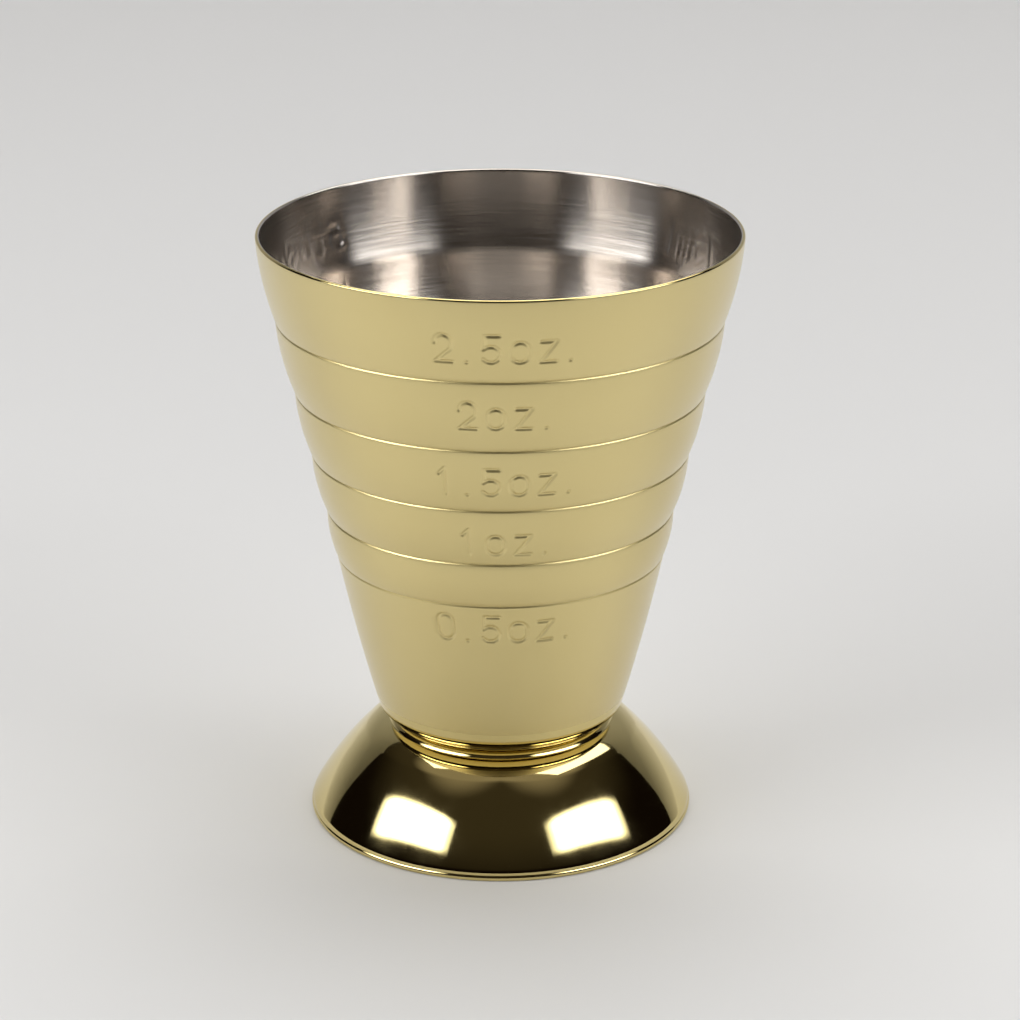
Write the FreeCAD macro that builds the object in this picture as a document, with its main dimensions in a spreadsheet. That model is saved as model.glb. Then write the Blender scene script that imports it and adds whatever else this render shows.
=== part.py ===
import FreeCAD, Part
import Sketcher
import math
import os

# Bar jigger: a deep-drawn cup in five stepped bands, spot welded to a pressed, flared foot.
# Z is up and is the axis of both pressings; the foot stands on z = 0 and the oz marks face -Y.

V = FreeCAD.Vector
up = V(0, 0, 1)

doc = FreeCAD.newDocument("BarJigger")
sheet = doc.addObject("Spreadsheet::Sheet", "Sizes")

# every size that can be set by itself: millimetres, and degrees for the turns
sizes = [
    ("height_all", 70.0),         # foot to rim
    ("rim_radius", 27.5),
    ("cup_wall", 0.5),            # sheet thickness of the cup
    ("line_a_radius", 25.45),     # the five creases that mark the volumes, from the top
    ("line_a_height", 60.35),
    ("line_b_radius", 23.42),
    ("line_b_height", 51.9),
    ("line_c_radius", 21.65),
    ("line_c_height", 44.4),
    ("line_d_radius", 20.0),
    ("line_d_height", 37.5),
    ("line_e_radius", 19.0),
    ("line_e_height", 32.1),
    ("band_a_bulge", 36.0),       # profile radius of the band above each crease
    ("band_b_bulge", 27.0),
    ("band_c_bulge", 22.0),
    ("band_d_bulge", 18.0),
    ("band_e_bulge", 13.5),
    ("base_band_bulge", 250.0),   # the long band under the lowest crease
    ("base_radius", 13.9),        # where that band would meet the flat bottom
    ("base_corner", 2.9),
    ("crease_round", 0.3),
    ("rim_round", 0.22),
    ("foot_radius", 22.5),
    ("foot_height", 11.6),
    ("foot_wall", 0.6),           # sheet thickness of the foot
    ("neck_radius", 12.95),
    ("neck_corner", 0.3),
    ("neck_drop", 1.15),          # how far the disc under the cup stands over the shoulder
    ("neck_fillet", 0.5),         # hollow bend where the neck meets the shoulder
    ("shoulder_bulge", 3.5),
    ("shoulder_turn", 45.0),      # slope where the shoulder runs into the flare
    ("flare_bulge", 38.0),
    ("flare_turn", 60.0),         # slope where the flare reaches the lip
    ("lip_turn", 1.3),            # the lip bends down to upright with this radius
    ("bead_height", 0.62),        # the edge is curled into a bead that the jigger stands on
    ("bead_bulge", 0.4),
    ("weld_radius", 0.9),         # spot-weld nuggets between the cup bottom and the foot disc
    ("weld_circle", 6.0),
    ("weld_number", 4),
    ("weld_in_cup", 0.2),         # how far a nugget reaches into each sheet
    ("weld_in_foot", 0.25),
    ("weld_gap", 0.01),
    ("mark_depth", 0.14),         # the marks are pressed in from the outside
    ("mark_stroke", 0.38),
    ("mark_tall", 3.3),
    ("mark_wide", 1.9),
    ("mark_pitch", 3.05),
    ("mark_dot_pitch", 2.15),     # a full stop takes less room
    ("mark_turn", 1.0),           # all three columns stand this far round the cup
    ("mark_drop_rim", 7.2),       # from the rim or a crease down to the baseline below it
    ("mark_drop_a", 5.55),
    ("mark_drop_b", 5.4),
    ("mark_drop_c", 5.5),
    ("mark_drop_e", 4.6),
]

# places that follow from those sizes
derived = [
    ("neck_flat", "neck_radius - neck_corner"),
    ("neck_side", "foot_height - neck_corner"),
    ("neck_bore", "neck_radius - foot_wall"),
    ("disc_under", "foot_height - foot_wall"),
    ("shoulder_top", "foot_height - neck_drop"),
    ("shoulder_under", "shoulder_top - foot_wall"),
    ("fillet_out", "neck_radius + neck_fillet"),
    ("fillet_up", "shoulder_top + neck_fillet"),
    ("neck_fillet_under", "neck_fillet + foot_wall"),
    ("flare_start", "fillet_out + shoulder_bulge * sin(shoulder_turn * 1deg)"),
    ("flare_start_up", "shoulder_top - shoulder_bulge * (1 - cos(shoulder_turn * 1deg))"),
    ("bead_out", "bead_bulge - sqrt(bead_bulge ^ 2 - bead_height ^ 2 / 4)"),
    ("lip_radius", "foot_radius - bead_out"),
    ("lip_inner", "lip_radius - foot_wall"),
    ("flare_end", "lip_radius - lip_turn * (1 - sin(flare_turn * 1deg))"),
    ("flare_end_up", "bead_height + lip_turn * cos(flare_turn * 1deg)"),
    ("lip_turn_inner", "lip_turn - foot_wall"),
    ("flare_end_inner", "flare_end - foot_wall * sin(flare_turn * 1deg)"),
    ("flare_end_up_inner", "flare_end_up - foot_wall * cos(flare_turn * 1deg)"),
    ("flare_bulge_inner", "flare_bulge - foot_wall"),
    ("flare_start_inner", "flare_start - foot_wall * sin(shoulder_turn * 1deg)"),
    ("flare_start_up_inner", "flare_start_up - foot_wall * cos(shoulder_turn * 1deg)"),
    ("shoulder_bulge_inner", "shoulder_bulge - foot_wall"),
]

for row, (name, value) in enumerate(sizes + derived, start=1):
    sheet.set("A%d" % row, name)
    sheet.set("B%d" % row, str(value) if name in dict(sizes) else "=" + value)
    sheet.setAlias("B%d" % row, name)
doc.recompute()


def size(name):
    return float(getattr(sheet, name))


def originPlane(body, role):
    return next(f for f in body.Origin.OriginFeatures if f.Role == role)


def newSketch(body, name, role, lift=None):
    sketch = body.newObject("Sketcher::SketchObject", name)
    sketch.AttachmentSupport = [(originPlane(body, role), "")]
    sketch.MapMode = "FlatFace"
    if lift:
        sketch.setExpression("AttachmentOffset.Base.z", lift)
    return sketch


def bulgedArc(start, end, radius):
    """The short arc from start to end, bulging to the left of that direction."""
    along = end - start
    sag = radius - math.sqrt(radius ** 2 - along.Length ** 2 / 4)
    side = V(-along.y, along.x, 0).normalize()
    return Part.Arc(start, (start + end) / 2 + side * sag, end)


def profileSketch(body, name, corners):
    """A closed outline in the XZ plane. Each corner is (radius alias, height alias, bulge alias);
    the bulge belongs to the edge that leaves the corner and None makes that edge straight.
    An alias of None puts the corner on the axis or on the ground."""
    sketch = newSketch(body, name, "XZ_Plane")
    places = [V(size(r) if r else 0, size(z) if z else 0, 0) for r, z, _ in corners]
    count = len(corners)
    starts = []
    for i, (_, _, bulge) in enumerate(corners):
        start, end = places[i], places[(i + 1) % count]
        if bulge is None:
            sketch.addGeometry(Part.LineSegment(start, end))
            starts.append((1, 2))
            continue
        # the outline runs with the metal on its right, so outward bulges are on its left
        arc = bulgedArc(start, end, size(bulge.lstrip("-"))) if bulge[0] != "-" else \
            bulgedArc(end, start, size(bulge.lstrip("-")))
        sketch.addGeometry(arc)
        ends = [sketch.getPoint(i, 1), sketch.getPoint(i, 2)]
        starts.append((1, 2) if (ends[0] - start).Length < (ends[1] - start).Length else (2, 1))
    for i in range(count):
        sketch.addConstraint(Sketcher.Constraint("Coincident", i, starts[i][1],
                                                 (i + 1) % count, starts[(i + 1) % count][0]))
    for i, (r, z, bulge) in enumerate(corners):
        point = starts[i][0]
        for kind, alias, axis in (("DistanceX", r, -2), ("DistanceY", z, -1)):
            if alias is None:
                sketch.addConstraint(Sketcher.Constraint("PointOnObject", i, point, axis))
                continue
            number = sketch.addConstraint(
                Sketcher.Constraint(kind, -1, 1, i, point, size(alias)))
            sketch.setExpression("Constraints[%d]" % number, "Sizes." + alias)
        if bulge:
            alias = bulge.lstrip("-")
            number = sketch.addConstraint(Sketcher.Constraint("Radius", i, size(alias)))
            sketch.setExpression("Constraints[%d]" % number, "Sizes." + alias)
    return sketch


def revolve(body, sketch, name):
    turned = body.newObject("PartDesign::Revolution", name)
    turned.Profile = sketch
    turned.ReferenceAxis = (sketch, ["V_Axis"])
    turned.Angle = 360
    doc.recompute()
    return turned


def ringEdges(feature, test):
    """Names of the full-circle edges about the axis whose (radius, height) pass the test."""
    names = []
    for i, edge in enumerate(feature.Shape.Edges, start=1):
        flat = edge.BoundBox.ZLength < 1e-4
        if flat and edge.Curve.TypeId == "Part::GeomCircle" and edge.Curve.Center.sub(
                V(0, 0, edge.Curve.Center.z)).Length < 1e-4:
            if test(edge.Curve.Radius, edge.Curve.Center.z):
                names.append("Edge%d" % i)
    return names


def ringFillet(body, base, name, radius, test):
    fillet = body.newObject("PartDesign::Fillet", name)
    fillet.Base = (base, ringEdges(base, test))
    fillet.setExpression("Radius", "Sizes." + radius)
    doc.recompute()
    return fillet


def near(a, b):
    return abs(a - b) < 1e-3


creases = ["line_a", "line_b", "line_c", "line_d", "line_e"]


def cupBlank(name):
    """The outside of the cup as a solid, with its creases and its bottom corner rounded."""
    body = doc.addObject("PartDesign::Body", name)
    corners = [
        (None, "foot_height", None),
        (None, "height_all", None),
        ("rim_radius", "height_all", "band_a_bulge"),
        ("line_a_radius", "line_a_height", "band_b_bulge"),
        ("line_b_radius", "line_b_height", "band_c_bulge"),
        ("line_c_radius", "line_c_height", "band_d_bulge"),
        ("line_d_radius", "line_d_height", "band_e_bulge"),
        ("line_e_radius", "line_e_height", "base_band_bulge"),
        ("base_radius", "foot_height", None),
    ]
    sketch = profileSketch(body, name + "_profile", corners)
    turned = revolve(body, sketch, name + "_turned")
    heights = [size(crease + "_height") for crease in creases]
    eased = ringFillet(body, turned, name + "_creases", "crease_round",
                       lambda r, z: any(near(z, level) for level in heights))
    rounded = ringFillet(body, eased, name + "_corner", "base_corner",
                         lambda r, z: near(z, size("foot_height")))
    return body, rounded


def weldPockets(body, name, deep, reversed):
    """Pockets for the nuggets, cut from the plane where the two sheets meet."""
    sketch = newSketch(body, name + "_circle", "XY_Plane", "Sizes.foot_height")
    weldCircle(sketch, "Sizes.weld_radius + Sizes.weld_gap")
    pocket = body.newObject("PartDesign::Pocket", name)
    pocket.Profile = sketch
    pocket.Type = 0
    pocket.setExpression("Length", "Sizes." + deep)
    pocket.Reversed = reversed
    doc.recompute()
    return weldPattern(body, sketch, pocket, name + "_pattern")


def weldCircle(sketch, radius):
    sketch.addGeometry(Part.Circle(V(size("weld_circle"), 0, 0), up, size("weld_radius")))
    sketch.addConstraint(Sketcher.Constraint("PointOnObject", 0, 3, -1))
    far = sketch.addConstraint(
        Sketcher.Constraint("DistanceX", -1, 1, 0, 3, size("weld_circle")))
    sketch.setExpression("Constraints[%d]" % far, "Sizes.weld_circle")
    wide = sketch.addConstraint(Sketcher.Constraint("Radius", 0, size("weld_radius")))
    sketch.setExpression("Constraints[%d]" % wide, radius)


def weldPattern(body, sketch, feature, name):
    pattern = body.newObject("PartDesign::PolarPattern", name)
    pattern.Originals = [feature]
    pattern.Axis = (sketch, ["N_Axis"])
    pattern.Angle = 360
    pattern.setExpression("Occurrences", "Sizes.weld_number")
    body.Tip = pattern
    doc.recompute()
    return pattern


# cup sheet: the blank hollowed out from its open top, pocketed for the welds, rim rounded
cupSheet, blank = cupBlank("cup_sheet")
wall = cupSheet.newObject("PartDesign::Thickness", "cup_hollow")
lid = next("Face%d" % i for i, face in enumerate(blank.Shape.Faces, start=1)
           if near(face.BoundBox.ZMin, size("height_all")))
wall.Base = (blank, [lid])
wall.setExpression("Value", "Sizes.cup_wall")
wall.Reversed = True
wall.Mode = "Skin"
wall.Join = "Arc"
doc.recompute()
pocketed = weldPockets(cupSheet, "cup_weld_pocket", "weld_in_cup", True)
rim = ringFillet(cupSheet, pocketed, "cup_rim", "rim_round",
                 lambda r, z: near(z, size("height_all")))
cupSheet.Tip = rim
doc.recompute()

# foot: hollow underneath, a raised disc that carries the cup, a shoulder, a flare and a beaded lip
foot = doc.addObject("PartDesign::Body", "foot")
footSketch = profileSketch(foot, "foot_profile", [
    (None, "disc_under", None),
    (None, "foot_height", None),
    ("neck_flat", "foot_height", "neck_corner"),
    ("neck_radius", "neck_side", None),
    ("neck_radius", "fillet_up", "-neck_fillet"),
    ("fillet_out", "shoulder_top", "shoulder_bulge"),
    ("flare_start", "flare_start_up", "flare_bulge"),
    ("flare_end", "flare_end_up", "lip_turn"),
    ("lip_radius", "bead_height", "bead_bulge"),
    ("lip_radius", None, None),
    ("lip_inner", None, None),
    ("lip_inner", "bead_height", "-lip_turn_inner"),
    ("flare_end_inner", "flare_end_up_inner", "-flare_bulge_inner"),
    ("flare_start_inner", "flare_start_up_inner", "-shoulder_bulge_inner"),
    ("fillet_out", "shoulder_under", "neck_fillet_under"),
    ("neck_bore", "fillet_up", None),
    ("neck_bore", "disc_under", None),
])
footTurned = revolve(foot, footSketch, "foot_turned")
weldPockets(foot, "foot_weld_pocket", "weld_in_foot", False)

# spot welds: one nugget in each pair of pockets
welds = doc.addObject("PartDesign::Body", "spot_welds")
welds.AllowCompound = True
weldSketch = newSketch(welds, "nugget_circle", "XY_Plane",
                       "Sizes.foot_height - Sizes.weld_in_foot")
weldCircle(weldSketch, "Sizes.weld_radius")
nugget = welds.newObject("PartDesign::Pad", "nugget")
nugget.Profile = weldSketch
nugget.Type = 0
nugget.setExpression("Length", "Sizes.weld_in_cup + Sizes.weld_in_foot")
doc.recompute()
weldPattern(welds, weldSketch, nugget, "nugget_pattern")

# The marks are single-stroke characters on a 1 x 1 grid: each stroke is a start point, then
# points joined by lines, or (through, end) pairs joined by arcs.
xHigh = 0.76
xArch = 0.52
bowl = [(0, xHigh / 2), ((0.5, 0), (1, xHigh / 2)), ((0.5, xHigh), (0, xHigh / 2))]
glyphs = {
    "0": [[(0, 0.3), ((0.5, 0), (1, 0.3)), (1, 0.7), ((0.5, 1), (0, 0.7)), (0, 0.3)]],
    "1": [[(0.2, 0.78), (0.55, 1), (0.55, 0)]],
    "2": [[(0.02, 0.7), ((0.5, 1), (0.98, 0.7)), (0.9, 0.48), (0, 0), (1, 0)]],
    "3": [[(0.03, 0.8), ((0.5, 1), (0.9, 0.75)), ((0.78, 0.58), (0.4, 0.53))],
          [(0.4, 0.53), ((0.83, 0.43), (1, 0.25)), ((0.5, 0), (0, 0.17))]],
    "4": [[(0.72, 0), (0.72, 1), (0, 0.28)], [(0, 0.28), (1, 0.28)]],
    "5": [[(0.95, 1), (0.12, 1), (0.03, 0.5), ((0.98, 0.36), (0, 0.14))]],
    "6": [[(0.85, 1), ((0.22, 0.72), (0, 0.3))],
          [(0, 0.3), ((0.5, 0), (1, 0.3)), ((0.5, 0.6), (0, 0.3))]],
    "7": [[(0, 1), (1, 1), (0.35, 0)]],
    "o": [bowl],
    "z": [[(0.05, xHigh), (0.95, xHigh), (0.05, 0), (0.95, 0)]],
    "m": [[(0, 0), (0, xHigh)],
          [(0, xArch), ((0.25, xHigh), (0.5, xArch)), (0.5, 0)],
          [(0.5, xArch), ((0.75, xHigh), (1, xArch)), (1, 0)]],
    "l": [[(0.4, 1), (0.4, 0)]],
    "t": [[(0.4, 1), (0.4, 0.2), ((0.48, 0.05), (0.8, 0.02))], [(0.05, xHigh), (0.8, xHigh)]],
    "b": [[(0, 1), (0, 0)], bowl],
    "s": [[(0.92, 0.63), ((0.12, 0.6), (0.5, 0.39)), ((0.9, 0.15), (0.05, 0.1))]],
    "p": [[(0, xHigh), (0, -0.3)], bowl],
    ".": [[(0.18, 0), (0.23, 0)]],
}
dotEnd = 0.3    # a full stop ends here across its cell

# the oz marks are in front, ml behind on the right and tbsp behind on the left
columns = {
    0: ["2.5oz.", "2oz.", "1.5oz.", "1oz.", "0.5oz."],
    120: ["75ml", "60ml", "45ml", "30ml", "15ml"],
    -120: ["5tbsp", "4tbsp", "3tbsp", "2tbsp", "1tbsp"],
}
markBands = [
    ("rim_radius", "height_all", "line_a_radius", "line_a_height", "band_a_bulge",
     "mark_drop_rim"),
    ("line_a_radius", "line_a_height", "line_b_radius", "line_b_height", "band_b_bulge",
     "mark_drop_a"),
    ("line_b_radius", "line_b_height", "line_c_radius", "line_c_height", "band_c_bulge",
     "mark_drop_b"),
    ("line_c_radius", "line_c_height", "line_d_radius", "line_d_height", "band_d_bulge",
     "mark_drop_c"),
    ("line_e_radius", "line_e_height", "base_radius", "foot_height", "base_band_bulge",
     "mark_drop_e"),
]


def slotFace(start, end, half):
    along = (end - start).normalize()
    side = V(-along.y, along.x, 0) * half
    outline = [
        Part.makeLine(start - side, end - side),
        Part.Arc(end - side, end + along * half, end + side).toShape(),
        Part.makeLine(end + side, start + side),
        Part.Arc(start + side, start - along * half, start - side).toShape(),
    ]
    return Part.Face(Part.Wire(outline))


def strokeFace(stroke):
    """The flat outline of one stroke, as wide as the marking tool, with round ends."""
    def at(point):
        return V(point[0] * size("mark_wide"), point[1] * size("mark_tall"), 0)

    here = at(stroke[0])
    edges = []
    for step in stroke[1:]:
        if isinstance(step[0], tuple):
            edges.append(Part.Arc(here, at(step[0]), at(step[1])).toShape())
            here = at(step[1])
        else:
            edges.append(Part.makeLine(here, at(step)))
            here = at(step)
    half = size("mark_stroke") / 2
    if len(stroke) == 2 and not isinstance(stroke[1][0], tuple):
        return slotFace(at(stroke[0]), at(stroke[1]), half)
    wire = Part.Wire(edges)
    outside = Part.Face(wire.makeOffset2D(half))
    if wire.isClosed():
        return outside.cut(Part.Face(wire.makeOffset2D(-half)))
    return outside


def glyphShape(character):
    faces = [strokeFace(stroke) for stroke in glyphs[character]]
    whole = faces[0].multiFuse(faces[1:]).removeSplitter() if len(faces) > 1 else faces[0]
    return whole


def bandAt(band, height):
    """Radius of a band at a height, and the upward lean of its outward normal there."""
    upperRing, upperLevel, ring, level, bulge, _ = band
    upper = V(size(upperRing), size(upperLevel), 0)
    lower = V(size(ring), size(level), 0)
    circle = bulgedArc(upper, lower, size(bulge)).toShape().Curve
    rise = height - circle.Center.y
    return circle.Center.x + math.sqrt(circle.Radius ** 2 - rise ** 2), \
        math.asin(rise / circle.Radius)


def letterShifts(text):
    """How far each character's middle stands to the right of the middle of the whole text."""
    starts = [0.0]
    for character in text[:-1]:
        starts.append(starts[-1] + size("mark_dot_pitch" if character == "." else "mark_pitch"))
    last = dotEnd if text[-1] == "." else 1.0
    middle = (starts[-1] + last * size("mark_wide")) / 2
    return [start + size("mark_wide") / 2 - middle for start in starts]


def markTools(name, inner, outer):
    """Every character of the three columns as a prism along the sheet's normal, from inner to
    outer, both measured outwards from the outside of the sheet."""
    solids = []
    for turn, texts in columns.items():
        for text, band in zip(texts, markBands):
            middle = size(band[1]) - size(band[5]) + size("mark_tall") / 2
            radius, lean = bandAt(band, middle)
            for character, shift in zip(text, letterShifts(text)):
                face = glyphShapes[character].copy()
                face.translate(V(-size("mark_wide") / 2, -size("mark_tall") / 2, inner))
                prism = face.extrude(V(0, 0, outer - inner))
                prism.rotate(V(0, 0, 0), V(1, 0, 0), 90 - math.degrees(lean))
                prism.translate(V(0, -radius, middle))
                prism.rotate(V(0, 0, 0), up,
                             turn + size("mark_turn") + math.degrees(shift / radius))
                solids.extend(prism.Solids)
    tools = doc.addObject("Part::Feature", name)
    tools.Shape = Part.makeCompound(solids)
    return tools


glyphShapes = {c: glyphShape(c) for rows in columns.values() for row in rows for c in row}
markReach = 1.0    # how far the marking tools stand clear of the sheet
cup = doc.addObject("Part::Cut", "cup")
cup.Base = cupSheet
cup.Tool = markTools("mark_tools", -size("mark_depth"), markReach)
doc.recompute()

pieces = [cup, foot, welds]
for piece in pieces:
    piece.Placement = FreeCAD.Placement(V(0, 0, 0), FreeCAD.Rotation())
doc.recompute()

for item in doc.Objects:
    if "Invalid" in item.State or "Error" in item.State:
        raise RuntimeError("%s did not build: %s" % (item.Name, item.State))
for piece in pieces:
    if piece.Shape.isNull() or not piece.Shape.isValid():
        raise RuntimeError(piece.Label + " has no valid shape")

os.makedirs("parts", exist_ok=True)
for piece in pieces:
    piece.Shape.exportStep("parts/" + piece.Label + ".step")
    box = piece.Shape.BoundBox
    print(piece.Label, "solids", len(piece.Shape.Solids), "volume", round(piece.Shape.Volume, 1),
          "box", [round(v, 2) for v in (box.XLength, box.YLength, box.ZMin, box.ZMax)])
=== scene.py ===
import math

import bpy
import numpy as np
from mathutils import Matrix, Quaternion, Vector


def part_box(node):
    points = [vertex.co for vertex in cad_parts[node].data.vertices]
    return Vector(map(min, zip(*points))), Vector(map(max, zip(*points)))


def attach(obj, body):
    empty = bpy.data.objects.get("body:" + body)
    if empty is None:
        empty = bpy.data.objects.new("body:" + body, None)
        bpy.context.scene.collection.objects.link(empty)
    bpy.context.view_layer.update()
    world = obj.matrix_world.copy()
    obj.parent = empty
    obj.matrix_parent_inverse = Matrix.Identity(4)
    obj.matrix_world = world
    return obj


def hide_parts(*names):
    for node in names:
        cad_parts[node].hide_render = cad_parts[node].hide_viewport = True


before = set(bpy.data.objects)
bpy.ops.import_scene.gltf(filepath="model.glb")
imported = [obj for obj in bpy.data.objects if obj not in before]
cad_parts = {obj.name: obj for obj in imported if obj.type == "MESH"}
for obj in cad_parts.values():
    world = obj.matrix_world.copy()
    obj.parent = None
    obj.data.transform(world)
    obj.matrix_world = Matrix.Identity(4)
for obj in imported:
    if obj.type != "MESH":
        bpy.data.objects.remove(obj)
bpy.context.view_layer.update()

mm = 0.001
cupLow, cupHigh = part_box("cup")
footLow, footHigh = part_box("foot")
print("frame loaded")


def hexToLinear(text):
    channels = [int(text[i:i + 2], 16) / 255 for i in (1, 3, 5)]
    return [c / 12.92 if c <= 0.04045 else ((c + 0.055) / 1.055) ** 2.4 for c in channels] + [1.0]


def addNode(tree, kind, inputs=None, **settings):
    node = tree.nodes.new(kind)
    for name, value in settings.items():
        setattr(node, name, value)
    for name, value in (inputs or {}).items():
        if isinstance(value, bpy.types.NodeSocket):
            tree.links.new(value, node.inputs[name])
        else:
            node.inputs[name].default_value = value
    return node


def newMaterial(name):
    material = bpy.data.materials.new(name)
    material.use_nodes = True
    material.node_tree.nodes.clear()
    return material, material.node_tree


def arcPoints(start, end, bulge, step):
    # short arc from start to end, hollow towards the axis, as (radius, height) points
    start, end = np.array(start, float), np.array(end, float)
    along = end - start
    length = math.hypot(*along)
    side = np.array([along[1], -along[0]]) / length
    sag = bulge - math.sqrt(bulge ** 2 - length ** 2 / 4)
    centre = (start + end) / 2 - side * (bulge - sag)
    angles = [math.atan2(*(p - centre)[::-1]) for p in (start, end)]
    count = max(2, int(math.ceil(length / step)) + 1)
    return [centre + bulge * np.array([math.cos(a), math.sin(a)])
            for a in np.linspace(*angles, count)]


def profileNormals(points):
    # normals on the right of the direction of travel, so outwards on a profile that climbs
    along = np.gradient(np.array(points), axis=0)
    along /= np.hypot(along[:, 0], along[:, 1])[:, None]
    return np.stack([along[:, 1], -along[:, 0]], 1)


def turnedPiece(name, rings, slots, materials):
    # rings is (row, turn, xyz); slots gives the material of the faces between a row and the next,
    # and one flat face closes the first row and another the last
    rows, count, _ = rings.shape
    here = np.arange(count)
    there = (here + 1) % count
    quads = np.concatenate([np.stack([i * count + here, i * count + there,
                                      (i + 1) * count + there, (i + 1) * count + here], 1)
                            for i in range(rows - 1)])
    corners = np.concatenate([quads.reshape(-1), here[::-1], (rows - 1) * count + here])
    starts = np.append(np.arange(0, quads.size, 4), [quads.size, quads.size + count])
    slots = np.append(np.repeat(slots[:rows - 1], count), [slots[0], slots[rows - 2]])
    mesh = bpy.data.meshes.new(name)
    mesh.vertices.add(rows * count)
    mesh.vertices.foreach_set("co", rings.reshape(-1))
    mesh.loops.add(len(corners))
    mesh.loops.foreach_set("vertex_index", corners.astype(np.int32))
    mesh.polygons.add(len(starts))
    mesh.polygons.foreach_set("loop_start", starts.astype(np.int32))
    for material in materials:
        mesh.materials.append(material)
    mesh.polygons.foreach_set("material_index", slots.astype(np.int32))
    mesh.update(calc_edges=True)
    mesh.shade_smooth()
    piece = bpy.data.objects.new(name, mesh)
    bpy.context.scene.collection.objects.link(piece)
    return piece


def champagneSatinSteel():
    # stainless sheet, finely satin blasted, then coated champagne gold: wide soft highlights
    material, tree = newMaterial("champagneSatinSteel")
    place = addNode(tree, "ShaderNodeTexCoord")
    # blasting pits are about 0.03 mm, drawn at 0.16 mm so that they show as a faint grain
    pits = addNode(tree, "ShaderNodeTexNoise", {
        "Vector": place.outputs["Object"], "Scale": 1 / (0.16 * mm), "Detail": 2.0})
    # the coating's tone drifts by a few percent over about 12 mm
    drift = addNode(tree, "ShaderNodeTexNoise", {
        "Vector": place.outputs["Object"], "Scale": 1 / (12 * mm), "Detail": 2.0})
    tone = addNode(tree, "ShaderNodeMixRGB", {
        "Fac": drift.outputs["Fac"], "Color1": hexToLinear("#DDCA8A"),
        "Color2": hexToLinear("#E2D193")})
    rough = addNode(tree, "ShaderNodeMapRange", {
        "Value": pits.outputs["Fac"], "To Min": 0.34, "To Max": 0.44})
    bump = addNode(tree, "ShaderNodeBump", {
        "Height": pits.outputs["Fac"], "Strength": 0.25, "Distance": 0.004 * mm})
    skin = addNode(tree, "ShaderNodeBsdfPrincipled", {
        "Base Color": tone.outputs["Color"], "Metallic": 1.0,
        "Roughness": rough.outputs["Result"], "Normal": bump.outputs["Normal"],
        # a clear seal over the gold gives the milky, colourless part of the highlights
        "Coat Weight": 1.0, "Coat Roughness": 0.28, "Coat IOR": 1.5})
    addNode(tree, "ShaderNodeOutputMaterial", {"Surface": skin.outputs["BSDF"]})
    return material


def mirrorGoldSteel():
    # stainless sheet, buffed to a mirror and coated gold: sharp reflections, faint wipe marks
    material, tree = newMaterial("mirrorGoldSteel")
    place = addNode(tree, "ShaderNodeTexCoord")
    # wipe marks and fingerprints come in patches of about 5 mm
    wipe = addNode(tree, "ShaderNodeTexNoise", {
        "Vector": place.outputs["Object"], "Scale": 1 / (5 * mm), "Detail": 4.0,
        "Roughness": 0.6})
    rough = addNode(tree, "ShaderNodeMapRange", {
        "Value": wipe.outputs["Fac"], "From Min": 0.35, "From Max": 0.75,
        "To Min": 0.045, "To Max": 0.10})
    # buffed sheet still waves by a micron or so every few millimetres
    bump = addNode(tree, "ShaderNodeBump", {
        "Height": wipe.outputs["Fac"], "Strength": 0.3, "Distance": 0.01 * mm})
    skin = addNode(tree, "ShaderNodeBsdfPrincipled", {
        "Base Color": hexToLinear("#E2D092"), "Metallic": 1.0,
        "Roughness": rough.outputs["Result"], "Normal": bump.outputs["Normal"]})
    addNode(tree, "ShaderNodeOutputMaterial", {"Surface": skin.outputs["BSDF"]})
    return material


def brushedBareSteel():
    # bare stainless, brushed round the axis: fine level lines and upright streaks of light
    material, tree = newMaterial("brushedBareSteel")
    place = addNode(tree, "ShaderNodeTexCoord")
    axes = addNode(tree, "ShaderNodeSeparateXYZ", {"Vector": place.outputs["Object"]})
    angle = addNode(tree, "ShaderNodeMath", {0: axes.outputs["X"], 1: axes.outputs["Y"]},
                    operation="ARCTAN2")
    # brush lines are about 0.05 mm wide and 10 mm long, drawn 0.25 mm wide
    across = addNode(tree, "ShaderNodeMath", {0: axes.outputs["Z"], 1: 1 / (0.25 * mm)},
                     operation="MULTIPLY")
    along = addNode(tree, "ShaderNodeMath", {0: angle.outputs["Value"], 1: 2.5},
                    operation="MULTIPLY")
    line = addNode(tree, "ShaderNodeCombineXYZ", {
        "X": along.outputs["Value"], "Y": across.outputs["Value"]})
    brush = addNode(tree, "ShaderNodeTexNoise", {
        "Vector": line.outputs["Vector"], "Scale": 1.0, "Detail": 3.0})
    tone = addNode(tree, "ShaderNodeMixRGB", {
        "Fac": brush.outputs["Fac"], "Color1": hexToLinear("#BDB5AD"),
        "Color2": hexToLinear("#E4DDD5")})
    rough = addNode(tree, "ShaderNodeMapRange", {
        "Value": brush.outputs["Fac"], "To Min": 0.15, "To Max": 0.25})
    bump = addNode(tree, "ShaderNodeBump", {
        "Height": brush.outputs["Fac"], "Strength": 0.35, "Distance": 0.01 * mm})
    turned = addNode(tree, "ShaderNodeTangent", direction_type="RADIAL", axis="Z")
    skin = addNode(tree, "ShaderNodeBsdfPrincipled", {
        "Base Color": tone.outputs["Color"], "Metallic": 1.0, "Anisotropic": 0.93,
        "Anisotropic Rotation": 0.25,
        "Roughness": rough.outputs["Result"], "Normal": bump.outputs["Normal"],
        "Tangent": turned.outputs["Tangent"]})
    addNode(tree, "ShaderNodeOutputMaterial", {"Surface": skin.outputs["BSDF"]})
    return material


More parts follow.
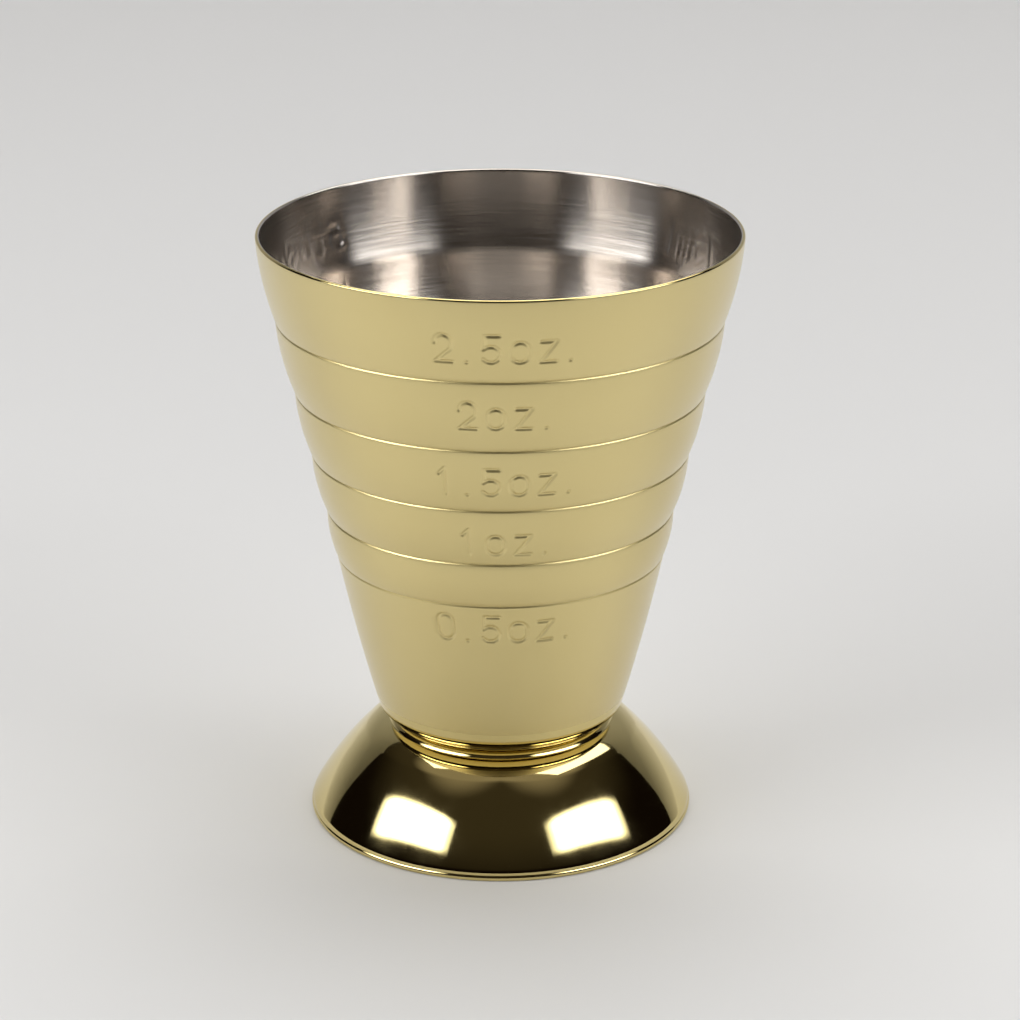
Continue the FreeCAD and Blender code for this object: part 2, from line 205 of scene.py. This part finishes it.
def weldedSteel():
    # fused stainless, left as it cooled: dull grey with a heat tint
    material, tree = newMaterial("weldedSteel")
    place = addNode(tree, "ShaderNodeTexCoord")
    heat = addNode(tree, "ShaderNodeTexNoise", {
        "Vector": place.outputs["Object"], "Scale": 1 / (0.8 * mm), "Detail": 3.0})
    tone = addNode(tree, "ShaderNodeMixRGB", {
        "Fac": heat.outputs["Fac"], "Color1": hexToLinear("#7A7672"),
        "Color2": hexToLinear("#9A8F82")})
    skin = addNode(tree, "ShaderNodeBsdfPrincipled", {
        "Base Color": tone.outputs["Color"], "Metallic": 1.0, "Roughness": 0.5})
    addNode(tree, "ShaderNodeOutputMaterial", {"Surface": skin.outputs["BSDF"]})
    return material


satin, mirror = champagneSatinSteel(), mirrorGoldSteel()
steel, weld = brushedBareSteel(), weldedSteel()
print("finishes made")

cup = {
    "wall": 0.5,
    # the creases that mark the volumes, from the top, as (radius, height)
    "lines": [(25.45, 60.35), (23.42, 51.9), (21.65, 44.4), (20.0, 37.5), (19.0, 32.1)],
    "bulges": [36, 27, 22, 18, 13.5, 250],   # bands from the rim down, the long one last
    "baseRadius": 13.9,
    "baseCorner": 2.9,
    # the pressed line at each crease: its depth, and its width above and below the crease
    "groove": {"deep": 0.12, "roof": 0.16, "ledge": 0.24},
    "polishedTo": 14.2,    # the satin finish stops at this height
    "hub": 0.3,            # the middle of the bottom is one flat face inside this radius
    "rowStep": 0.6,        # spacing of the mesh outside, between the marks and on them
    "markStep": 0.12,
    "arcStep": 0.02,       # spacing of the points that the rows are picked from
    "rowGap": 0.08,        # no row is nearer than this to the end of its band
    "innerRowStep": 0.8,   # the row spacings on the inside
    "innerMarkStep": 0.22,
    "turnStep": 1.5,       # degrees between the marks, on the front marks and on the rear ones
    "frontTurnStep": 0.3,
    "rearTurnStep": 0.45,
    "markReach": 24,       # degrees that the longest mark takes to each side
    "seamGap": 0.1,        # the rows stop this far under the round edge of the rim
}

marks = {
    "stroke": 0.38,
    "depth": 0.17,
    "flank": 0.08,         # how far the sides of a stroke slope beyond its width
    "ghost": 0.045,        # how far the marks stand up inside
    "ghostFlank": 0.4,
    "below": 0.36,         # room for a mark under its baseline and over it, as shares of "tall"
    "above": 1.12,
    "tall": 3.3,
    "wide": 1.9,
    "pitch": 3.05,
    "dotPitch": 2.15,      # a full stop takes less room
    "dotEnd": 0.3,         # and ends here across its cell
    "turn": 1.0,           # degrees that all three columns stand round the cup
    "drops": [7.2, 5.55, 5.4, 5.5, 4.6],   # baseline below the rim or the crease above it
    "bands": [0, 1, 2, 3, 5],
    "columns": {
        0: ["2.5oz.", "2oz.", "1.5oz.", "1oz.", "0.5oz."],
        120: ["75ml", "60ml", "45ml", "30ml", "15ml"],
        -120: ["5tbsp", "4tbsp", "3tbsp", "2tbsp", "1tbsp"],
    },
}

# single-stroke characters on a 1 x 1 grid: points joined by lines, (through, end) pairs by arcs
bowl = [(0, 0.38), ((0.5, 0), (1, 0.38)), ((0.5, 0.76), (0, 0.38))]
glyphs = {
    "0": [[(0, 0.3), ((0.5, 0), (1, 0.3)), (1, 0.7), ((0.5, 1), (0, 0.7)), (0, 0.3)]],
    "1": [[(0.2, 0.78), (0.55, 1), (0.55, 0)]],
    "2": [[(0.02, 0.7), ((0.5, 1), (0.98, 0.7)), (0.9, 0.48), (0, 0), (1, 0)]],
    "3": [[(0.03, 0.8), ((0.5, 1), (0.9, 0.75)), ((0.78, 0.58), (0.4, 0.53))],
          [(0.4, 0.53), ((0.83, 0.43), (1, 0.25)), ((0.5, 0), (0, 0.17))]],
    "4": [[(0.72, 0), (0.72, 1), (0, 0.28)], [(0, 0.28), (1, 0.28)]],
    "5": [[(0.95, 1), (0.12, 1), (0.03, 0.5), ((0.98, 0.36), (0, 0.14))]],
    "6": [[(0.85, 1), ((0.22, 0.72), (0, 0.3))],
          [(0, 0.3), ((0.5, 0), (1, 0.3)), ((0.5, 0.6), (0, 0.3))]],
    "7": [[(0, 1), (1, 1), (0.35, 0)]],
    "o": [bowl],
    "z": [[(0.05, 0.76), (0.95, 0.76), (0.05, 0), (0.95, 0)]],
    "m": [[(0, 0), (0, 0.76)],
          [(0, 0.52), ((0.25, 0.76), (0.5, 0.52)), (0.5, 0)],
          [(0.5, 0.52), ((0.75, 0.76), (1, 0.52)), (1, 0)]],
    "l": [[(0.4, 1), (0.4, 0)]],
    "t": [[(0.4, 1), (0.4, 0.2), ((0.48, 0.05), (0.8, 0.02))], [(0.05, 0.76), (0.8, 0.76)]],
    "b": [[(0, 1), (0, 0)], bowl],
    "s": [[(0.92, 0.63), ((0.12, 0.6), (0.5, 0.39)), ((0.9, 0.15), (0.05, 0.1))]],
    "p": [[(0, 0.76), (0, -0.3)], bowl],
    ".": [[(0.18, 0), (0.23, 0)]],
}


def arcThrough(a, b, c, count=9):
    # points on the circle through a, b and c, from a to c by way of b
    (ax, ay), (bx, by), (cx, cy) = a, b, c
    d = 2 * (ax * (by - cy) + bx * (cy - ay) + cx * (ay - by))
    ux = ((ax * ax + ay * ay) * (by - cy) + (bx * bx + by * by) * (cy - ay)
          + (cx * cx + cy * cy) * (ay - by)) / d
    uy = ((ax * ax + ay * ay) * (cx - bx) + (bx * bx + by * by) * (ax - cx)
          + (cx * cx + cy * cy) * (bx - ax)) / d
    radius = math.hypot(ax - ux, ay - uy)
    start, mid, end = (math.atan2(y - uy, x - ux) for x, y in (a, b, c))
    turn = (end - start) % (2 * math.pi)
    if (mid - start) % (2 * math.pi) > turn:
        turn -= 2 * math.pi
    return [(ux + radius * math.cos(start + turn * t), uy + radius * math.sin(start + turn * t))
            for t in np.linspace(0, 1, count)[1:]]


def letterShifts(text):
    # where each character's middle stands, in millimetres from the middle of the text
    steps = [marks["dotPitch"] if c == "." else marks["pitch"] for c in text]
    starts = np.concatenate([[0], np.cumsum(steps[:-1])])
    last = marks["dotEnd"] * marks["wide"] if text[-1] == "." else marks["wide"]
    return starts + marks["wide"] / 2 - (starts[-1] + last) / 2


def strokeSegments(character):
    # every stroke of a character as straight pieces in millimetres, centred on its width
    pieces = []
    for stroke in glyphs[character]:
        size = lambda p: ((p[0] - 0.5) * marks["wide"], p[1] * marks["tall"])
        points = [size(stroke[0])]
        for step in stroke[1:]:
            if isinstance(step[0], tuple):
                points += arcThrough(points[-1], size(step[0]), size(step[1]))
            else:
                points.append(size(step))
        pieces += list(zip(points[:-1], points[1:]))
    return np.array(pieces)


def strokeDistance(across, above, pieces):
    # distance in millimetres from each point to the nearest stroke
    best = np.full(across.shape, 9.0)
    for (x0, y0), (x1, y1) in pieces:
        dx, dy = x1 - x0, y1 - y0
        t = np.clip(((across - x0) * dx + (above - y0) * dy) / (dx * dx + dy * dy), 0, 1)
        best = np.minimum(best, np.hypot(across - x0 - t * dx, above - y0 - t * dy))
    return best


def cupProfile(rowStep, markStep):
    # the outside of the cup from the middle of its bottom to the rim, and its height steps
    height = cupHigh[2] / mm
    bottom = cupLow[2] / mm
    tops = [((cupHigh[0] - cupLow[0]) / 2 / mm, height)] + cup["lines"]
    ends = cup["lines"] + [(cup["baseRadius"], bottom)]
    zones = []
    for drop, band in zip(marks["drops"], marks["bands"]):
        base = tops[band][1] - drop
        zones.append((base - marks["below"] * marks["tall"], base + marks["above"] * marks["tall"]))
    points = []
    for (upper, lower, bulge) in reversed(list(zip(tops, ends, cup["bulges"]))):
        dense = arcPoints(lower, upper, bulge, cup["arcStep"])
        kept = [dense[0]]
        for p in dense[1:-1]:
            fine = any(low < p[1] < high for low, high in zones)
            if math.hypot(*(p - kept[-1])) >= (markStep if fine else rowStep):
                kept.append(p)
        if math.hypot(*(dense[-1] - kept[-1])) < cup["rowGap"]:
            kept.pop()
        points += kept
    points.append(np.array(tops[0], float))
    return points, zones


def grooveCreases(points):
    # each crease is a narrow groove: a steep roof above and a longer ledge below
    groove = cup["groove"]
    out = list(points)
    for line in cup["lines"]:
        spot = np.array(line, float)
        i = min(range(len(out)), key=lambda k: math.hypot(*(out[k] - spot)))
        below = [p for p in out[:i] if math.hypot(*(p - spot)) > groove["ledge"]]
        above = [p for p in out[i + 1:] if math.hypot(*(p - spot)) > groove["roof"]]
        low = spot + groove["ledge"] * (below[-1] - spot) / math.hypot(*(below[-1] - spot))
        high = spot + groove["roof"] * (above[0] - spot) / math.hypot(*(above[0] - spot))
        deepest = spot + np.array([-groove["deep"], 0])
        bend = []
        for start, end, count in ((low, deepest, 5), (deepest, high, 4)):
            for t in np.linspace(0, 1, count, endpoint=False):
                ease = t * t * (3 - 2 * t)
                bend.append(start + (end - start) * np.array([ease, t]))
        out = below + bend + [high] + above
    return out


def roundBottom(points):
    # flat bottom, then a corner that meets the lowest band
    corner = cup["baseCorner"]
    bottom = cupLow[2] / mm
    along = points[1] - points[0]
    along = along / math.hypot(*along)
    inwards = np.array([-along[1], along[0]])
    # the arc touches both the flat and the band
    turn = math.acos(along[1])
    reach = corner * math.tan((math.pi / 2 - turn) / 2)
    touch = points[0] + along * reach
    centre = touch + inwards * corner
    start, end = -math.pi / 2, math.atan2(*(touch - centre)[::-1])
    arc = [centre + corner * np.array([math.cos(a), math.sin(a)])
           for a in np.linspace(start, end, 24)]
    rest = [p for p in points if p[1] > touch[1] + 0.1]
    flat = [np.array([r, bottom]) for r in np.linspace(cup["hub"], arc[0][0], 12)[:-1]]
    return flat + arc + rest


def cupTurns():
    # directions round the cup, closer together where the marks are
    turns = []
    angle = 0.0
    while angle < 360:
        turns.append(angle)
        offs = {column: abs((angle - column - marks["turn"] + 180) % 360 - 180)
                for column in marks["columns"]}
        nearest = min(offs, key=offs.get)
        step = cup["turnStep"]
        if offs[nearest] < cup["markReach"]:
            step = cup["rearTurnStep"] if nearest else cup["frontTurnStep"]
        angle += step
    return np.radians(turns)


def markField(profile, turns, zones, width, power):
    # how deep each point of a profile lies in a mark, from 0 to 1
    field = np.zeros((len(profile), len(turns)))
    tops = [cupHigh[2] / mm] + [height for _, height in cup["lines"]]
    along = np.concatenate([[0], np.cumsum(np.hypot(*np.diff(profile, axis=0).T))])
    for column, texts in marks["columns"].items():
        faced = math.radians(column + marks["turn"])
        offset = (turns - faced + math.pi) % (2 * math.pi) - math.pi
        for text, drop, band, (low, high) in zip(texts, marks["drops"], marks["bands"], zones):
            base = tops[band] - drop
            rows = np.where((profile[:, 1] > low) & (profile[:, 1] < high))[0]
            above = along[rows] - np.interp(base, profile[:, 1], along)
            radius = np.interp(base + marks["tall"] / 2, profile[:, 1], profile[:, 0])
            for character, shift in zip(text, letterShifts(text)):
                across = offset * radius - shift
                cols = np.where(abs(across) < marks["wide"] / 2 + 0.6)[0]
                gap = strokeDistance(*np.meshgrid(across[cols], above),
                                     strokeSegments(character))
                cell = np.ix_(rows, cols)
                depth = np.clip(1 - (gap / width) ** 2, 0, 1) ** power
                field[cell] = np.maximum(field[cell], depth)
    return field


def buildCup():
    outside, zones = cupProfile(cup["rowStep"], cup["markStep"])
    inside, _ = cupProfile(cup["innerRowStep"], cup["innerMarkStep"])
    outside = np.array(roundBottom(grooveCreases(outside)))
    inside = np.array(roundBottom(inside))
    inside = inside - profileNormals(inside) * cup["wall"]

    # both sides stop where the round edge of the rim takes over, which tops out at full height
    half = cup["wall"] / 2
    lean = profileNormals(outside)[-1]
    climb = np.array([-lean[1], lean[0]])
    seam = outside[-1] - climb * half * (1 - lean[1]) / lean[0]
    outside = np.vstack([outside[outside[:, 1] < seam[1] - cup["seamGap"]], seam])
    inside = np.vstack([inside[inside[:, 1] < seam[1] - cup["seamGap"]],
                        seam - lean * cup["wall"]])
    edge = np.array([seam - half * lean + half * (lean * math.cos(a) + climb * math.sin(a))
                     for a in np.linspace(0, math.pi, 11)[1:-1]])

    turns = cupTurns()
    half = marks["stroke"] / 2
    sink = markField(outside, turns, zones, half + marks["flank"], 1.5) * marks["depth"]
    lift = markField(inside, turns, zones, half + marks["ghostFlank"], 2.0) * marks["ghost"]

    def spin(profile, shift):
        directions = profileNormals(profile)
        radius = profile[:, 0, None] + directions[:, 0, None] * shift
        height = profile[:, 1, None] + directions[:, 1, None] * shift
        return np.stack([radius * np.sin(turns), -radius * np.cos(turns),
                         height + 0 * turns], 2)

    rings = np.concatenate([spin(outside, -sink), spin(edge, np.zeros((len(edge), len(turns)))),
                            spin(inside, -lift)[::-1]]) * mm
    slots = [1 if z < cup["polishedTo"] else 0 for z in outside[:, 1]]
    # the coating wraps over the outer half of the rim
    slots += [1 if i < len(edge) / 2 else 2 for i in range(len(edge))] + [2] * len(inside)
    piece = turnedPiece("cup_shell", rings, slots, [satin, mirror, steel])
    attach(piece, "root")
    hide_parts("cup")
    print("cup_shell", rings.shape)


foot = {
    "wall": 0.6,
    "neckRadius": 13.2,    # where the disc's rounded edge meets the shoulder
    "neckRound": 1.1,
    "neckSteep": 25,       # the edge is this far from upright there, in degrees
    "flareTop": (15.92, 9.42),   # where the shoulder runs into the flare
    "shoulderBulge": 7.2,
    "shoulderTurn": 45,    # slope of the sheet there, in degrees
    "flareBulge": 38,
    "flareTurn": 60,       # slope where the flare reaches the lip
    "lipTurn": 1.3,        # the lip bends down to upright with this radius
    "beadHeight": 0.62,    # the edge is curled into a bead that the jigger stands on
    "beadBulge": 0.4,
    "hub": 0.3,            # the middle of the disc is closed with one flat face each side
    "turns": 360,          # points round the foot
}


def footProfile():
    # the foot's section as two runs: up the outside from the ground, and back down underneath
    top = footHigh[2] / mm
    wide = (footHigh[0] - footLow[0]) / 2 / mm
    wall, neck, edge = foot["wall"], foot["neckRadius"], foot["neckRound"]
    bend, bead, bulge = foot["lipTurn"], foot["beadHeight"], foot["shoulderBulge"]
    steep, gentle, lean = (math.radians(foot[name])
                           for name in ("flareTurn", "shoulderTurn", "neckSteep"))
    lip = wide - foot["beadBulge"] + math.sqrt(foot["beadBulge"] ** 2 - bead ** 2 / 4)
    flareLow = np.array([lip - bend * (1 - math.sin(steep)), bead + bend * math.cos(steep)])
    flareTop = np.array(foot["flareTop"])
    lowIn = flareLow - wall * np.array([math.sin(steep), math.cos(steep)])
    topIn = flareTop - wall * np.array([math.sin(gentle), math.cos(gentle)])
    # the disc's edge is rounded and meets the shoulder in a knee
    centre = np.array([neck - edge * math.cos(lean), top - edge])
    knee = centre + edge * np.array([math.cos(lean), math.sin(lean)])
    kneeIn = knee - wall * np.array([math.sin(lean), math.cos(lean)])
    outside = arcPoints((lip, 0), (lip, bead), foot["beadBulge"], 0.06)
    outside += arcPoints((lip, bead), flareLow, bend, 0.08)[1:]
    outside += arcPoints(flareLow, flareTop, foot["flareBulge"], 0.25)[1:]
    outside += arcPoints(flareTop, knee, bulge, 0.12)[1:]
    outside += [centre + edge * np.array([math.cos(a), math.sin(a)])
                for a in np.linspace(lean, math.pi / 2, 14)[1:]]
    outside += [np.array([r, top]) for r in np.linspace(centre[0] - 0.1, foot["hub"], 14)]
    under = [np.array([r, top - wall]) for r in np.linspace(foot["hub"], centre[0] - 0.2, 14)]
    under += arcPoints(topIn, kneeIn, bulge - wall, 0.15)[::-1]
    under += arcPoints(lowIn, topIn, foot["flareBulge"] - wall, 0.3)[::-1][1:]
    under += arcPoints((lip - wall, bead), lowIn, bend - wall, 0.06)[::-1][1:]
    under += [np.array([lip - wall, 0.0])]
    return np.array(outside), np.array(under)


def buildFoot():
    outside, under = footProfile()
    turns = np.linspace(0, 2 * math.pi, foot["turns"], endpoint=False)
    profile = np.concatenate([under, outside])
    rings = np.stack([profile[:, 0, None] * np.sin(turns), -profile[:, 0, None] * np.cos(turns),
                      profile[:, 1, None] + 0 * turns], 2) * mm
    slots = [1] * (len(under) - 1) + [0] * (len(outside) + 1)
    piece = turnedPiece("foot_shell", rings, slots, [mirror, satin])
    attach(piece, "root")
    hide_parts("foot")
    print("foot_shell", rings.shape)


buildCup()
buildFoot()
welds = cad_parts["spot_welds"]
welds.data.materials.clear()
welds.data.materials.append(weld)
print("pieces built")

studio = {
    "paperNearPaintedShade": "#D6D6D6",  # painted light and shade: the paper is painted a little darker towards the camera and lighter towards the back, making up for how the lamps light the floor
    "paperFarPaintedLight": "#E1E1E1",
    "paintedShadeFrom": 0.05,       # and does so from sweepStart down to here
    "sweepStart": 0.45,      # metres behind the object where the floor turns up
    "sweepRadius": 0.30,
    "sweepHigh": 0.75,
    "wide": 2.4,
    "front": 0.75,
    "aim": 10 * mm,          # the lamps point at this height on the axis
    # azimuth from the camera, elevation, distance, size, roll, watts, and the share of the width
    # over which each edge fades
    "lamps": [
        {"name": "softbox_left", "azimuth": -65, "elevation": 35, "far": 0.62,
         "size": (0.56, 0.155), "roll": 18, "watts": 2.5, "feather": 0.2},
        {"name": "softbox_right", "azimuth": 64, "elevation": 35, "far": 0.62,
         "size": (0.56, 0.155), "roll": -18, "watts": 1.9, "feather": 0.2},
        {"name": "overhead", "azimuth": 168, "elevation": 67, "far": 2.0,
         "size": (2.5, 1.8), "roll": 0, "watts": 36.0, "feather": 0},
    ],
    "edgeGlow": 0.12,        # a softbox's light at its very edge, where the middle is 1
    "roomLow": "#100B08",    # the dark room, near the horizon and higher up
    "roomHigh": "#39342A",
    "roomRise": (0.35, 0.75),      # sines of the elevations between which it changes
    "ceiling": "#918A80",
    "ceilingRise": (0.9, 0.98),
    "ceilingSpread": 0.25,   # the ceiling starts lower towards the sides
}

view = {
    "far": 354.3 * mm,       # level distance to the axis
    "high": 169.1 * mm,
    "side": 1.1 * mm,
    "tilt": 20.52,           # degrees below level
    "lens": 115.447,         # millimetres, on a sensor 36 mm wide
}


def buildStage():
    # a pale paper sweep: floor, bend, wall
    bend = studio["sweepRadius"]
    line = [(-studio["front"], 0.0), (studio["sweepStart"], 0.0)]
    for angle in np.linspace(0, math.pi / 2, 24)[1:]:
        line.append((studio["sweepStart"] + bend * math.sin(angle),
                     bend * (1 - math.cos(angle))))
    line.append((line[-1][0], studio["sweepHigh"]))
    half = studio["wide"] / 2
    verts = [(x, y, z) for y, z in line for x in (-half, half)]
    faces = [(2 * i, 2 * i + 1, 2 * i + 3, 2 * i + 2) for i in range(len(line) - 1)]
    mesh = bpy.data.meshes.new("paper_sweep")
    mesh.from_pydata(verts, [], faces)
    mesh.shade_smooth()
    material, tree = newMaterial("palePaperWithPaintedLight")
    place = addNode(tree, "ShaderNodeTexCoord")
    # paper tooth, drawn at 1 mm
    tooth = addNode(tree, "ShaderNodeTexNoise", {
        "Vector": place.outputs["Object"], "Scale": 1 / (1 * mm), "Detail": 2.0})
    bump = addNode(tree, "ShaderNodeBump", {
        "Height": tooth.outputs["Fac"], "Strength": 0.1, "Distance": 0.02 * mm})
    axes = addNode(tree, "ShaderNodeSeparateXYZ", {"Vector": place.outputs["Object"]})
    # painted light and shade: the paper's colour runs from darker near the camera to lighter at the
    # back, standing in for how the lamps light the floor
    depth = addNode(tree, "ShaderNodeMapRange", {
        "Value": axes.outputs["Y"], "From Min": studio["paintedShadeFrom"],
        "From Max": studio["sweepStart"]})
    tone = addNode(tree, "ShaderNodeMixRGB", {
        "Fac": depth.outputs["Result"], "Color1": hexToLinear(studio["paperNearPaintedShade"]),
        "Color2": hexToLinear(studio["paperFarPaintedLight"])})
    skin = addNode(tree, "ShaderNodeBsdfPrincipled", {
        "Base Color": tone.outputs["Color"], "Roughness": 0.6,
        "Normal": bump.outputs["Normal"]})
    addNode(tree, "ShaderNodeOutputMaterial", {"Surface": skin.outputs["BSDF"]})
    mesh.materials.append(material)
    floor = bpy.data.objects.new("paper_sweep", mesh)
    bpy.context.scene.collection.objects.link(floor)


def featherEdges(light, share):
    # a softbox is brightest in the middle and falls off at its fabric edge
    light.use_nodes = True
    tree = light.node_tree
    tree.nodes.clear()
    place = addNode(tree, "ShaderNodeNewGeometry")
    parts = addNode(tree, "ShaderNodeSeparateXYZ", {"Vector": place.outputs["Parametric"]})
    fades = []
    for axis in ("X", "Y"):
        off = addNode(tree, "ShaderNodeMath", {0: parts.outputs[axis], 1: 0.5},
                      operation="SUBTRACT")
        half = addNode(tree, "ShaderNodeMath", {0: off.outputs["Value"]}, operation="ABSOLUTE")
        fades.append(addNode(tree, "ShaderNodeMapRange", {
            "Value": half.outputs["Value"], "From Min": 0.5, "From Max": 0.5 - share,
            "To Min": studio["edgeGlow"], "To Max": 1.0}, interpolation_type="SMOOTHSTEP"))
    both = addNode(tree, "ShaderNodeMath", {
        0: fades[0].outputs["Result"], 1: fades[1].outputs["Result"]}, operation="MULTIPLY")
    glow = addNode(tree, "ShaderNodeEmission", {"Strength": both.outputs["Value"]})
    addNode(tree, "ShaderNodeOutputLight", {"Surface": glow.outputs["Emission"]})


def buildLights():
    centre = Vector((0, 0, studio["aim"]))
    for lamp in studio["lamps"]:
        light = bpy.data.lights.new(lamp["name"], "AREA")
        light.shape = "RECTANGLE"
        light.size, light.size_y = lamp["size"]
        light.energy = lamp["watts"]
        if lamp["feather"]:
            featherEdges(light, lamp["feather"])
        stand = bpy.data.objects.new(lamp["name"], light)
        bpy.context.scene.collection.objects.link(stand)
        around, rise = math.radians(lamp["azimuth"]), math.radians(lamp["elevation"])
        towards = Vector((math.sin(around) * math.cos(rise),
                          -math.cos(around) * math.cos(rise), math.sin(rise)))
        level = Vector((math.cos(around), math.sin(around), 0))
        upright = towards.cross(level)
        turned = Quaternion(towards, math.radians(lamp["roll"]))
        stand.location = centre + lamp["far"] * towards
        axes = Matrix((turned @ level, turned @ upright, towards)).transposed()
        stand.rotation_euler = axes.to_euler()
    world = bpy.data.worlds.new("room")
    world.use_nodes = True
    world.node_tree.nodes.clear()
    place = addNode(world.node_tree, "ShaderNodeTexCoord")
    rise = addNode(world.node_tree, "ShaderNodeSeparateXYZ", {
        "Vector": place.outputs["Generated"]})
    height = addNode(world.node_tree, "ShaderNodeMapRange", {
        "Value": rise.outputs["Z"], "From Min": studio["roomRise"][0],
        "From Max": studio["roomRise"][1]},
        interpolation_type="SMOOTHSTEP")
    shade = addNode(world.node_tree, "ShaderNodeMixRGB", {
        "Fac": height.outputs["Result"], "Color1": hexToLinear(studio["roomLow"]),
        "Color2": hexToLinear(studio["roomHigh"])})
    aside = addNode(world.node_tree, "ShaderNodeMath", {0: rise.outputs["X"]},
                    operation="ABSOLUTE")
    roof = addNode(world.node_tree, "ShaderNodeMath", {
        0: aside.outputs["Value"], 1: studio["ceilingSpread"], 2: rise.outputs["Z"]},
        operation="MULTIPLY_ADD")
    above = addNode(world.node_tree, "ShaderNodeMapRange", {
        "Value": roof.outputs["Value"], "From Min": studio["ceilingRise"][0],
        "From Max": studio["ceilingRise"][1]},
        interpolation_type="SMOOTHSTEP")
    room = addNode(world.node_tree, "ShaderNodeMixRGB", {
        "Fac": above.outputs["Result"], "Color1": shade.outputs["Color"],
        "Color2": hexToLinear(studio["ceiling"])})
    glow = addNode(world.node_tree, "ShaderNodeBackground", {"Color": room.outputs["Color"]})
    addNode(world.node_tree, "ShaderNodeOutputWorld", {"Surface": glow.outputs["Background"]})
    bpy.context.scene.world = world


def placeCamera():
    camera = bpy.data.cameras.new("camera")
    camera.sensor_width = 36
    camera.lens = view["lens"]
    camera.clip_start, camera.clip_end = 0.01, 10
    eye = bpy.data.objects.new("camera", camera)
    bpy.context.scene.collection.objects.link(eye)
    eye.location = (view["side"], -view["far"], view["high"])
    eye.rotation_euler = (math.radians(90 - view["tilt"]), 0, 0)
    bpy.context.scene.camera = eye


buildStage()
buildLights()
placeCamera()
bpy.context.scene.view_settings.view_transform = "Standard"
print("studio set")
